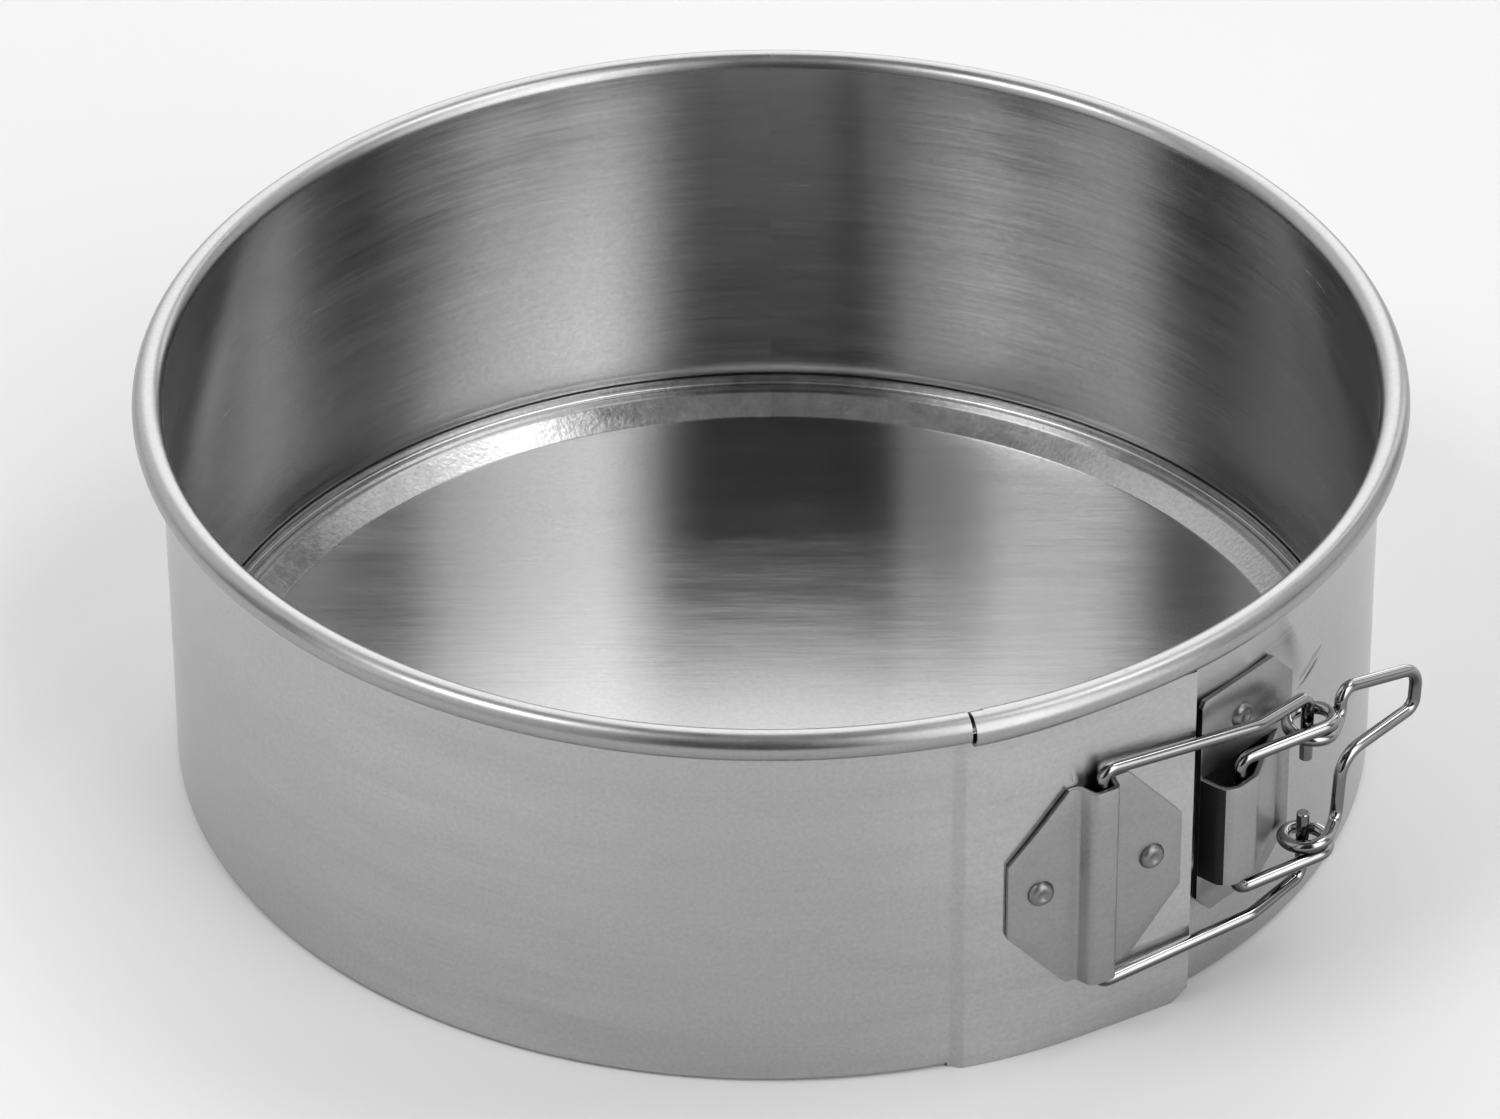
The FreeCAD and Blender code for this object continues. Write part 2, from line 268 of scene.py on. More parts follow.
def swept(section, start, end, step=2.0, shape=None):
    """Loops of a (radius, height) section turned about Z; shape may move a point given its angle.

    The section is a list of points, or a function that gives the list for each share of the way.
    """
    count = max(1, ceil(abs(end - start) / step))
    loops = []
    for i in range(count + 1):
        angle = start + (end - start) * i / count
        loop = []
        for p in (section(i / count) if callable(section) else section):
            r = p[0] + (shape(angle, p[0], p[1]) if shape else 0.0)
            loop.append(around(angle, r, p[1]))
        loops.append(loop)
    return loops


def merged(parts):
    """Several (vertices, faces) as one."""
    vertices, faces = [], []
    for v, f in parts:
        base = len(vertices)
        vertices += v
        faces += [tuple(i + base for i in face) for face in f]
    return vertices, faces


def rod(name, line, radius, sides=20, chamfer=0.16):
    """A round wire along a line, with lightly broken edges on its cut ends."""
    run = (line[1] - line[0]).normalized()
    side = run.orthogonal().normalized()
    loops = []

    def ring(centre, direction, across, size):
        other = direction.cross(across)
        return [centre + (across * cos(2 * pi * k / sides) + other * sin(2 * pi * k / sides)) * size
                for k in range(sides)]

    for i, p in enumerate(line):
        a = line[max(i - 1, 0)]
        b = line[min(i + 1, len(line) - 1)]
        direction = (b - a).normalized()
        side = (side - direction * side.dot(direction)).normalized()
        if i == 0:
            loops.append(ring(p, direction, side, radius - chamfer))
            loops.append(ring(p + direction * chamfer, direction, side, radius))
        elif i == len(line) - 1:
            loops.append(ring(p - direction * chamfer, direction, side, radius))
            loops.append(ring(p, direction, side, radius - chamfer))
        else:
            loops.append(ring(p, direction, side, radius))
    return new_object(name, *tube_grid(loops), sharp=40.0)


def bevelled(piece, width, segments=2, limit=40.0):
    """Breaks the piece's sharp edges and keeps the result as its mesh."""
    bevel = piece.modifiers.new("edges", "BEVEL")
    bevel.width = width * MM
    bevel.segments = segments
    bevel.limit_method = "ANGLE"
    bevel.angle_limit = radians(limit)
    bevel.harden_normals = False
    depsgraph = bpy.context.evaluated_depsgraph_get()
    mesh = bpy.data.meshes.new_from_object(piece.evaluated_get(depsgraph))
    piece.modifiers.clear()
    piece.data = mesh
    smooth(piece, 30.0)
    return piece


# ---- materials ----------------------------------------------------------------


class Nodes:
    """A node tree with short calls for the nodes used here."""

    def __init__(self, tree):
        self.tree = tree
        tree.nodes.clear()

    def add(self, kind, inputs=None, **settings):
        node = self.tree.nodes.new(kind)
        for key, value in settings.items():
            setattr(node, key, value)
        for key, value in (inputs or {}).items():
            if isinstance(value, bpy.types.NodeSocket):
                self.tree.links.new(value, node.inputs[key])
            else:
                node.inputs[key].default_value = value
        return node

    def math(self, operation, *values, clamp=False):
        node = self.add("ShaderNodeMath", operation=operation, use_clamp=clamp)
        for i, value in enumerate(values):
            if isinstance(value, bpy.types.NodeSocket):
                self.tree.links.new(value, node.inputs[i])
            else:
                node.inputs[i].default_value = value
        return node.outputs[0]

    def noise(self, vector, scale, detail=3.0, roughness=0.5):
        node = self.add("ShaderNodeTexNoise", {"Vector": vector, "Scale": scale, "Detail": detail,
                                               "Roughness": roughness})
        return node.outputs["Fac"]

    def spread(self, value, low, high, new_low, new_high):
        node = self.add("ShaderNodeMapRange", {"Value": value, "From Min": low, "From Max": high,
                                               "To Min": new_low, "To Max": new_high})
        return node.outputs["Result"]

    def stretched(self, vector, scale):
        return self.add("ShaderNodeMapping", {"Vector": vector, "Scale": scale}).outputs["Vector"]

    def tint(self, value, dark, light):
        node = self.add("ShaderNodeMix", {"Factor": value}, data_type="RGBA")
        node.inputs["A"].default_value = (*dark, 1)
        node.inputs["B"].default_value = (*light, 1)
        return node.outputs["Result"]


def wall_coordinates(nodes):
    """Metres along the wall, outwards and up, from the place alone, so grain can run round the pan."""
    place = nodes.add("ShaderNodeTexCoord").outputs["Object"]
    split = nodes.add("ShaderNodeSeparateXYZ", {"Vector": place})
    x, y, z = split.outputs
    angle = nodes.math("ARCTAN2", x, nodes.math("MULTIPLY", y, -1.0))
    along = nodes.math("MULTIPLY", angle, WALL_OUTER * MM)
    squares = nodes.math("ADD", nodes.math("MULTIPLY", x, x), nodes.math("MULTIPLY", y, y))
    radius = nodes.math("SQRT", squares)
    joined = nodes.add("ShaderNodeCombineXYZ", {"X": along, "Y": radius, "Z": z})
    return joined.outputs["Vector"]


# depths of the surface bumps, in metres
GRAIN_DEPTH = 0.00003
PEEL_DEPTH = 0.00004
CREASE_DEPTH = 0.0005


def metal(name, colour, roughness, anisotropy=0.0, rotation=0.0, grain="object", grain_scale=(1, 1, 1),
          grain_bump=0.0, mottle=0.04, specks=0.0, tangent=None, peel=0.0, peel_scale=900.0,
          underside_shade=None, crease=None):
    """Tinplate or plated wire: rolled grain, cloudy roughness, and specks and fine bump as asked.

    The underside shade is the colour of painted shade on the surfaces that face down. A crease is a
    shallow dent in the wall:
    its place along the wall and up, its half length and half width, all in millimetres, and its tilt.
    """
    material = bpy.data.materials.new(name)
    material.use_nodes = True
    nodes = Nodes(material.node_tree)
    if grain == "wall":
        place = wall_coordinates(nodes)
    else:
        place = nodes.add("ShaderNodeTexCoord").outputs["Object"]
    patches = tuple(min(0.35 * s, 150.0) for s in grain_scale)
    clouds = nodes.noise(nodes.stretched(place, patches), 1.0, 4.0, 0.6)
    streaks = nodes.noise(nodes.stretched(place, grain_scale), 1.0, 5.0, 0.65)
    tone = nodes.math("ADD", nodes.math("MULTIPLY", clouds, 0.5), nodes.math("MULTIPLY", streaks, 0.5))
    light = nodes.spread(tone, 0.3, 0.7, 0.0, 1.0)
    dark = tuple(c * (1 - mottle) for c in colour)
    bright = tuple(min(1.0, c * (1 + mottle)) for c in colour)
    grit = nodes.noise(place, 1500.0, 3.0, 0.7)
    light = nodes.math("ADD", nodes.math("MULTIPLY", light, 0.5), nodes.spread(grit, 0.3, 0.7, 0.0, 0.5))
    base = nodes.tint(light, dark, bright)
    if specks:
        dots = nodes.noise(place, 2600.0, 2.0, 0.7)
        mask = nodes.spread(dots, 0.70, 0.78, 0.0, specks)
        mixed = nodes.add("ShaderNodeMix", {"Factor": mask}, data_type="RGBA")
        nodes.tree.links.new(base, mixed.inputs["A"])
        mixed.inputs["B"].default_value = (*(c * 0.55 for c in colour), 1)
        base = mixed.outputs["Result"]
    # painted shade: surfaces are darkened towards the underside shade colour the further they face down
    if underside_shade:
        facing = nodes.add("ShaderNodeNewGeometry").outputs["Normal"]
        up = nodes.add("ShaderNodeSeparateXYZ", {"Vector": facing}).outputs["Z"]
        underside_shade_mix = nodes.add("ShaderNodeMix", {"Factor": nodes.spread(up, -0.2, 0.55, 0.0, 1.0)},
                          data_type="RGBA")
        underside_shade_mix.inputs["A"].default_value = (*underside_shade, 1)
        nodes.tree.links.new(base, underside_shade_mix.inputs["B"])
        base = underside_shade_mix.outputs["Result"]
    rough = nodes.spread(tone, 0.3, 0.7, roughness * 0.72, roughness * 1.28)
    shader = nodes.add("ShaderNodeBsdfPrincipled", {
        "Base Color": base, "Metallic": 1.0, "Roughness": rough,
        "Anisotropic": anisotropy, "Anisotropic Rotation": rotation})
    if tangent == "radial":
        turn = nodes.add("ShaderNodeTangent", direction_type="RADIAL", axis="Z")
        nodes.tree.links.new(turn.outputs["Tangent"], shader.inputs["Tangent"])
    elif tangent == "uv":
        turn = nodes.add("ShaderNodeTangent", direction_type="UV_MAP", uv_map="grain")
        nodes.tree.links.new(turn.outputs["Tangent"], shader.inputs["Tangent"])
    normal = None
    if grain_bump:
        bump = nodes.add("ShaderNodeBump", {"Height": streaks, "Strength": grain_bump,
                                            "Distance": GRAIN_DEPTH})
        normal = bump.outputs["Normal"]
    if peel:
        height = nodes.noise(place, peel_scale, 2.0, 0.5)
        settings = {"Height": height, "Strength": peel, "Distance": PEEL_DEPTH}
        if normal is not None:
            settings["Normal"] = normal
        normal = nodes.add("ShaderNodeBump", settings).outputs["Normal"]
    if crease:
        along, up, half_length, half_width, tilt = crease
        local = nodes.add("ShaderNodeMapping", {
            "Vector": place, "Location": Vector((along, WALL_OUTER, up)) * MM,
            "Rotation": (0.0, -radians(tilt), 0.0),
            "Scale": Vector((half_length, 4.0, half_width)) * MM}, vector_type="TEXTURE")
        distance = nodes.add("ShaderNodeVectorMath", {"Vector": local.outputs["Vector"]},
                             operation="LENGTH")
        dent = nodes.add("ShaderNodeMapRange", {"Value": distance.outputs["Value"], "To Min": -1.0,
                                                "To Max": 0.0}, interpolation_type="SMOOTHSTEP")
        settings = {"Height": dent.outputs["Result"], "Strength": 1.0, "Distance": CREASE_DEPTH}
        if normal is not None:
            settings["Normal"] = normal
        normal = nodes.add("ShaderNodeBump", settings).outputs["Normal"]
    if normal is not None:
        nodes.tree.links.new(normal, shader.inputs["Normal"])
    output = nodes.add("ShaderNodeOutputMaterial", {"Surface": shader.outputs["BSDF"]})
    output.is_active_output = True
    return material


TIN = (0.44, 0.44, 0.443)
WALL_METAL = metal("tinplate_wall", TIN, 0.22, anisotropy=0.93, rotation=0.25, grain="wall",
                   grain_scale=(60, 200, 1800), grain_bump=0.05, mottle=0.17, specks=0.35,
                   tangent="radial", peel=0.10, peel_scale=260.0, crease=(106.4, 46.6, 6.5, 1.6, 15.0))
RIM_METAL = metal("tinplate_rim", (0.34, 0.34, 0.343), 0.31, grain="wall",
                  grain_scale=(80, 200, 900), grain_bump=0.1, mottle=0.12)
FLOOR_METAL = metal("tinplate_floor", TIN, 0.20, anisotropy=0.93, rotation=0.25,
                    grain_scale=(60, 1500, 60), grain_bump=0.10, mottle=0.12, specks=0.35, tangent="uv",
                    peel=0.12, peel_scale=420.0)
SLOPE_METAL = metal("tinplate_slope", (0.42, 0.42, 0.423), 0.21, grain="wall",
                    grain_scale=(300, 300, 300), peel=0.5, peel_scale=1100.0, mottle=0.2, specks=0.5)
PLATE_METAL = metal("tinplate_bracket", (0.32, 0.32, 0.323), 0.38, grain="wall",
                    grain_scale=(200, 200, 900), grain_bump=0.1, mottle=0.14, specks=0.4, peel=0.12)
# near-black tinplate for the strap's left leg: painted shade, for the deep shadow in the recess beside it
PAINTED_SHADE_METAL = metal("painted_shade_tinplate", (0.03, 0.03, 0.03), 0.5, grain_scale=(200, 200, 200),
                      mottle=0.3)
# the wire's undersides are painted dark: painted shade for the shade below the wire
WIRE_METAL = metal("plated_wire", (0.36, 0.36, 0.364), 0.09, grain_scale=(500, 500, 500), mottle=0.05,
                   grain_bump=0.05, underside_shade=(0.06, 0.06, 0.06))
RIVET_METAL = metal("plated_rivet", (0.21, 0.21, 0.212), 0.36, grain_scale=(400, 400, 400),
                    mottle=0.12, peel=0.15, peel_scale=1500.0)


def finish_piece(piece, material, body, slot, *replaced):
    if not piece.data.materials:
        piece.data.materials.append(material)
    if body:
        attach(piece, body)
    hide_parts(*replaced)
    return piece


# ---- the band -----------------------------------------------------------------


def bead_line():
    """Middle line of the bottom bead, rolled inwards: from its hidden edge round to the wall."""
    radius = (SEAT_ROLL_DIAMETER - BAND_SHEET) / 2
    centre = (WALL_MIDDLE - radius, BAND_SHEET / 2 + radius)
    return spiral(centre, radius, 0, -285, tighten=0.05)[::-1]


def rim_line(extra=0.0):
    """Middle line of the rim's outward roll, from the wall over the top and round to its hidden edge."""
    radius = (RIM_ROLL_DIAMETER - BAND_SHEET) / 2 + extra
    centre = (WALL_MIDDLE + radius, PAN_HEIGHT - BAND_SHEET / 2 - radius)
    return spiral(centre, radius, 180, -305, tighten=0.04)


def wall_heights(bottom, top, pitch=5.0):
    count = max(1, ceil((top - bottom) / pitch))
    return [bottom + (top - bottom) * k / count for k in range(1, count)]


def band_section(lowest=None, extra=0.0):
    """The sheet's outline from its lowest point to the rim; with no lowest point it has the bead."""
    rim = rim_line(extra)
    if lowest is None:
        start = bead_line()
    else:
        start = [Vector((WALL_MIDDLE, lowest))]
    ridge = RIDGE_LEVELS if lowest is None else []
    heights = sorted(wall_heights(start[-1].y, rim[0].y) + ridge)
    wall = [Vector((WALL_MIDDLE, z)) for z in heights]
    return sheet_loop(start + wall + rim, BAND_SHEET)


def wall_wave(angle, radius, z):
    """Long, shallow waves, none at the rim or the bead, and inside a low ridge above the base's lip."""
    fade = sin(pi * max(0.0, min(1.0, z / PAN_HEIGHT))) ** 1.5
    a = radians(angle)
    place = Vector((cos(a), sin(a), z / 60.0)) * 1.7
    wave = fade * (0.10 * noise.noise(place) + 0.035 * noise.noise(place * 3.1))
    if radius < WALL_MIDDLE and z > 3.0:
        near_lip = max(0.0, 1 - abs(z - RIDGE_HEIGHT) / RIDGE_REACH)
        wave -= RIDGE_DEPTH * near_lip * near_lip * (3 - 2 * near_lip)
    return wave


def standing_sheet(line, thickness, bottoms, tops, levels=6):
    """A bent sheet that stands on a plan line; each point has its own bottom and top."""
    loops = []
    for i, p in enumerate(line):
        a = line[max(i - 1, 0)]
        b = line[min(i + 1, len(line) - 1)]
        run = (b - a).normalized()
        normal = Vector((run.y, -run.x, 0)) * thickness / 2
        heights = [bottoms[i] + (tops[i] - bottoms[i]) * k / levels for k in range(levels + 1)]
        outer = [Vector((p.x, p.y, z)) + normal for z in heights]
        inner = [Vector((p.x, p.y, z)) - normal for z in heights]
        loops.append(outer + inner[::-1])
    return strip_ends(loops)


def flap_strip():
    """The joggle, the part of the flap that follows the wall, and its flat end with a cut corner."""
    start = SPLIT_ANGLE - 0.2
    half_arc = (FLAP_ANGLE - start) / 2
    corner = around(FLAP_ANGLE - half_arc, FLAP_MIDDLE / cos(radians(half_arc)))
    along, up = FLAP_CHAMFER
    flat_end = on_wall(FLAP_ANGLE, FLAP_MIDDLE, FLAP_FLAT_LENGTH)
    cut_start = on_wall(FLAP_ANGLE, FLAP_MIDDLE, FLAP_FLAT_LENGTH - along)
    points = [around(JOGGLE_ANGLE - 0.4, WALL_MIDDLE), around(JOGGLE_ANGLE, WALL_MIDDLE),
              around(start, FLAP_MIDDLE), corner, cut_start, flat_end]
    line = rounded(points, [1.5, 1.5, 0.94 * FLAP_MIDDLE, 0.0], step=1.5)
    line = divided(line, 4.0)
    bottoms = [up * max(0.0, 1 - (p - flat_end).length / along) for p in line]
    return standing_sheet(line, BAND_SHEET, bottoms, [FLAP_TOP] * len(line), levels=12)


def band():
    """The band in two meshes that meet at the back."""
    def rim_end(share):
        """The rim's end at the split is rolled a little larger than the rest."""
        return band_section(RIM_CUT, RIM_END_SWELL * (1 - share) ** 2 * (1 + 2 * share))

    right = [strip_ends(swept(band_section(), HIDDEN_END_ANGLE, 180, shape=wall_wave)),
             strip_ends(swept(rim_end, SPLIT_ANGLE + 0.15, RIM_END_REACH, step=1.0))]
    left_end = 360 + JOGGLE_ANGLE - 0.4
    left = [strip_ends(swept(band_section(), 180, left_end, shape=wall_wave)),
            strip_ends(swept(band_section(RIM_CUT), left_end, 360 + SPLIT_ANGLE - 0.15, step=0.5)),
            flap_strip()]
    right_piece = new_object("band_right", *merged(right))
    left_piece = new_object("band_left", *merged(left))
    for piece in (right_piece, left_piece):
        finish_band(piece)
    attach(right_piece, "band")
    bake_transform(left_piece)


def finish_band(piece):
    """The wall's metal, with the rim's own on the roll."""
    piece.data.materials.append(WALL_METAL)
    piece.data.materials.append(RIM_METAL)
    roll_top = PAN_HEIGHT - 2.0
    roll_bottom = PAN_HEIGHT - RIM_ROLL_DIAMETER - 0.4
    clear_of_wall = 103.3
    for face in piece.data.polygons:
        out = hypot(face.center.x, face.center.y) / MM
        height = face.center.z / MM
        if height > roll_top or (height > roll_bottom and out > clear_of_wall):
            face.material_index = 1
    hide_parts("side_band")


# ---- the base -----------------------------------------------------------------


def base():
    """Dished disc: flat floor, a sloped ring, a shelf with a fine bead, and an upturned lip."""
    half = BASE_SHEET / 2
    shelf = BASE_SHELF_HEIGHT + half
    bead = BASE_EDGE - 2.0
    section = [Vector((0.0, half, 0)), Vector((BASE_FLOOR_RADIUS + 0.3, half, 0)),
               Vector((BASE_FLOOR_RADIUS + 4.8, shelf, 0)), Vector((bead - 0.7, shelf, 0)),
               Vector((bead, shelf + 0.3, 0)), Vector((bead + 0.7, shelf, 0)),
               Vector((BASE_EDGE - half, shelf, 0)), Vector((BASE_EDGE - half, BASE_LIP_HEIGHT, 0))]
    line = rounded(section, [1.2, 1.2, 0.5, 0.4, 0.5, 0.6], step=10)
    line = [Vector((p.x, p.y)) for p in divided(line, 6.0)]
    outline = sheet_loop(line[1:], BASE_SHEET)
    loops = swept(outline, 0, 360, step=2.0)[:-1]
    vertices, faces = tube_grid(loops, closed=True)
    # the ring's inner edge is closed by a fan above and below
    count = len(outline)
    for index, z in ((0, BASE_SHEET), (count - 1, 0.0)):
        centre = len(vertices)
        vertices.append(Vector((0, 0, z)))
        for i in range(len(loops)):
            j = (i + 1) % len(loops)
            faces.append((i * count + index, j * count + index, centre))
    faces = [f for f in faces if not (len(f) == 4 and {v % count for v in f} == {0, count - 1})]
    piece = new_object("base", vertices, faces)
    grain = piece.data.uv_layers.new(name="grain")
    for loop in piece.data.loops:
        place = piece.data.vertices[loop.vertex_index].co
        grain.data[loop.index].uv = (place.x * 5, place.y * 5)
    for material in (FLOOR_METAL, SLOPE_METAL):
        piece.data.materials.append(material)
    for face in piece.data.polygons:
        out = hypot(face.center.x, face.center.y) / MM
        face.material_index = 1 if out > BASE_FLOOR_RADIUS else 0
    return finish_piece(piece, FLOOR_METAL, "base", "tinplate", "base_disc")


# ---- the brackets ---------------------------------------------------------------


def bent_plate(name, angle, radius, points, radii, thickness, marks, bottom_at, top_at):
    """A bent bracket drawn in plan as (along, out) points, with its bottom and top at each place."""
    line = rounded([Vector((along, out, 0)) for along, out in points], radii, step=12)
    line = divided(line, 1.5)
    for mark in marks:
        for i, (a, b) in enumerate(zip(line, line[1:])):
            if a.x < mark - 0.02 and b.x > mark + 0.02:
                line.insert(i + 1, a.lerp(b, (mark - a.x) / (b.x - a.x)))
                break
    bottoms = [bottom_at(p.x) for p in line]
    tops = [top_at(p.x) for p in line]
    placed = [on_wall(angle, radius, p.x, p.y) for p in line]
    return standing_sheet(placed, thickness, bottoms, tops, levels=8)


LINK_BRACKET_FLAT = 5.5          # half the length of its top and bottom edges
LINK_BRACKET_CUT = 12.0          # height of a cut corner


def link_bracket():
    """Eight-sided plate with a full-height channel that holds the link's upright."""
    half = LINK_BRACKET_HALF
    low = BRACKET_SHEET / 2 + 0.05
    crest = 3.6
    wing = FLAP_FACE + low
    foot = -3.4
    gap = 0.1
    drop = wing - sqrt(wing ** 2 - half ** 2) - gap
    foot_drop = wing - sqrt(wing ** 2 - foot ** 2) - gap
    middle = (-half + foot) / 2
    section = [(-half, low - drop), (middle, low - foot_drop + foot / wing * (foot - middle)),
               (foot, low - foot_drop), (-2.2, crest), (1.9, crest), (2.6, low), (half, low)]
    flat = LINK_BRACKET_FLAT

    def cut(along):
        return LINK_BRACKET_CUT * max(0.0, abs(along) - flat) / (half - flat)

    def bottom(along):
        return LINK_BRACKET_BOTTOM + cut(along)

    def top(along):
        return LINK_BRACKET_TOP - cut(along)

    mesh = bent_plate("link_plate", FLAP_ANGLE, FLAP_FACE, section, [44.0, 1.2, 1.0, 0.9, 0.9],
                      BRACKET_SHEET, (-flat, flat), bottom, top)
    piece = bevelled(new_object("link_plate", *mesh), 0.14)
    return finish_piece(piece, PLATE_METAL, "flap_end", "tinplate", "link_bracket")


def chamfered(left, right, bottom, top, cuts):
    (tl, tr, br, bl) = cuts
    return [(left, bottom + bl[1]), (left, top - tl[1]), (left + tl[0], top), (right - tr[0], top),
            (right, top - tr[1]), (right, bottom + br[1]), (right - br[0], bottom),
            (left + bl[0], bottom)]


def lever_bracket():
    """Flat plate with a window, and over it a raised strap that holds the lever's ends.

    The outside of the strap's left leg is painted near-black: painted shade for the deep shadow in the
    recess beside it.
    """
    outline = chamfered(LEVER_BRACKET_LEFT, LEVER_BRACKET_RIGHT, LEVER_BRACKET_BOTTOM, LEVER_BRACKET_TOP,
                        [(0.8, 1.2), (5.2, 5.4), (6.7, 6.7), (3.7, 3.9)])
    near, far = STRAP_WINDOW

    def slab(points, back, front):
        loops = [[on_wall(LEVER_BRACKET_ANGLE, WALL_OUTER, u, out, z) for u, z in points]
                 for out in (back, front)]
        return tube_grid(loops)

    plate = new_object("lever_plate", *slab(outline, 0.0, BRACKET_SHEET))
    window = [(near, STRAP_BOTTOM), (near, STRAP_TOP), (far, STRAP_TOP), (far, STRAP_BOTTOM)]
    cutter = new_object("window_cutter", *slab(window, -1.0, 3.0))
    cut = plate.modifiers.new("window", "BOOLEAN")
    cut.operation = "DIFFERENCE"
    cut.solver = "EXACT"
    cut.object = cutter
    depsgraph = bpy.context.evaluated_depsgraph_get()
    mesh = bpy.data.meshes.new_from_object(plate.evaluated_get(depsgraph))
    plate.modifiers.clear()
    plate.data = mesh
    bpy.data.objects.remove(cutter)
    low = BRACKET_SHEET / 2
    crest = 6.55
    section = [(near, low), (-9.6, crest), (-3.2, crest), (9.2, low), (far + 0.9, low)]
    strap = bent_plate("strap", LEVER_BRACKET_ANGLE, WALL_OUTER, section, [2.7, 2.4, 0.8],
                       BRACKET_SHEET, (), lambda u: STRAP_BOTTOM + 0.02, lambda u: STRAP_TOP - 0.02)
    work = bmesh.new()
    work.from_mesh(plate.data)
    extra = bpy.data.meshes.new("strap")
    vertices, faces = strap
    extra.from_pydata([tuple(v * MM) for v in vertices], [], faces)
    work.from_mesh(extra)
    bmesh.ops.recalc_face_normals(work, faces=work.faces)
    work.to_mesh(plate.data)
    work.free()
    bevelled(plate, 0.14)
    piece = finish_piece(plate, PLATE_METAL, "band", "tinplate", "lever_bracket")
    # the outward faces of the strap's left leg get the near-black material: painted shade for the
    # recess's deep shadow
    piece.data.materials.append(PAINTED_SHADE_METAL)
    leg = around(LEVER_BRACKET_ANGLE - 90.0)
    foot = on_wall(LEVER_BRACKET_ANGLE, WALL_OUTER) * MM
    for face in piece.data.polygons:
        across = -(face.center - foot).dot(leg) / MM
        inside = STRAP_BOTTOM - 0.1 < face.center.z / MM < STRAP_TOP + 0.1
        if inside and near - 0.6 < across < -8.6 and face.normal.dot(leg) > 0.8:
            face.material_index = 1
    return piece


RIVET_SHANK_RADIUS = 1.3
RIVET_TAIL_RADIUS = 1.85


def rivet(name, angle, radius, along, z, back, front, body):
    """Domed head with a dimple from the setting tool, and a flat clinched tail inside the pan."""
    head = [(0.0, 0.72), (0.45, 0.74), (0.8, 0.92), (1.05, 1.06), (1.3, 1.07), (1.7, 0.9), (2.05, 0.6),
            (2.25, 0.25), (2.3, 0.0)]
    tail = [(1.75, -0.02), (RIVET_TAIL_RADIUS, -0.12), (1.75, -0.27), (0.6, -0.3), (0.0, -0.3)]
    shank = [(RIVET_SHANK_RADIUS, front), (RIVET_SHANK_RADIUS, back)]
    line = [(r, front + h) for r, h in head] + shank + [(r, back + h) for r, h in tail]
    sides = 32
    direction = around(angle)
    across = Vector((cos(radians(angle)), sin(radians(angle)), 0))
    vertices, faces = [], []
    for r, out in line:
        centre = on_wall(angle, radius, along, out, z)
        vertices += [centre + (across * cos(2 * pi * k / sides) + UP * sin(2 * pi * k / sides)) * r
                     for k in range(sides)]
    for i in range(len(line) - 1):
        for k in range(sides):
            m = (k + 1) % sides
            faces.append((i * sides + k, i * sides + m, (i + 1) * sides + m, (i + 1) * sides + k))
    piece = new_object(name, vertices, faces, sharp=45.0)
    piece.name = name + "_set"
    return finish_piece(piece, RIVET_METAL, body, "rivet", name)


def rivets():
    left_angle = FLAP_ANGLE - degrees(LINK_RIVET_OFFSET / FLAP_FACE)
    back = -BAND_SHEET - 0.06
    rivet("link_rivet_left", left_angle, FLAP_FACE, 0.0, LINK_RIVET_HEIGHT, back, BRACKET_SHEET + 0.25,
          "flap_end")
    rivet("link_rivet_right", FLAP_ANGLE, FLAP_FACE, LINK_RIVET_OFFSET, LINK_RIVET_HEIGHT, back,
          BRACKET_SHEET + 0.05, "flap_end")
    for name, (along, z) in zip(("lever_rivet_upper", "lever_rivet_lower"), LEVER_RIVETS):
        inside = sqrt(WALL_INNER ** 2 - (abs(along) + RIVET_TAIL_RADIUS) ** 2) - WALL_OUTER - 0.01
        rivet(name, LEVER_BRACKET_ANGLE, WALL_OUTER, along, z, inside, BRACKET_SHEET, "band")


# ---- the wires ------------------------------------------------------------------


def link_wire():
    """The bail: an upright in the link bracket, two arms, and two hooks that point at each other."""
    upper = [HOOK + UP * 37.8, HOOK + UP * 50.2, LINK_KINK + UP * 51.4, LINK_PIVOT + UP * 53.8]
    lower = [LINK_PIVOT + UP * 11.3, LINK_KINK + UP * 13.6, HOOK + UP * 14.4, HOOK + UP * 26.9]
    line = rounded(upper + lower, [2.2, 6.0, 2.0, 2.0, 6.0, 2.2])
    piece = rod("link_rod", divided(line, 6.0), WIRE_RADIUS)
    return finish_piece(piece, WIRE_METAL, "link", "wire", "link_wire")


def on_lever(along, out, z):
    """A point in the closed lever's own frame: along it, outwards, up."""
    a = radians(LEVER_HEADING)
    pivot = on_wall(LEVER_BRACKET_ANGLE, WALL_OUTER, *LEVER_PIVOT_PLACE)
    return pivot + Vector((cos(a), sin(a), 0)) * along + Vector((sin(a), -cos(a), 0)) * out + UP * z


def lever_half(end_z, arm_z, coil_z, coil_rise):
    """One end of the lever: pivot, arm, just over a turn of coil, and the foot of the riser."""
    steps = 9
    step = 45.0
    tilt = degrees(atan(COIL_RADIUS / COIL_DISTANCE))
    points = [on_lever(0, 0, end_z), on_lever(0, 0, arm_z)]
    corner_radius = COIL_RADIUS / cos(radians(step / 2))
    for i in range(steps):
        a = radians(90 + tilt - step * (i + 0.5))
        points.append(on_lever(COIL_DISTANCE + corner_radius * cos(a), corner_radius * sin(a),
                               coil_z + coil_rise * i / (steps - 1)))
    points.append(on_lever(COIL_DISTANCE + RISER_OFFSET, 0.9, coil_z + coil_rise))
    return points, [2.0] + [COIL_RADIUS - 0.06] * steps


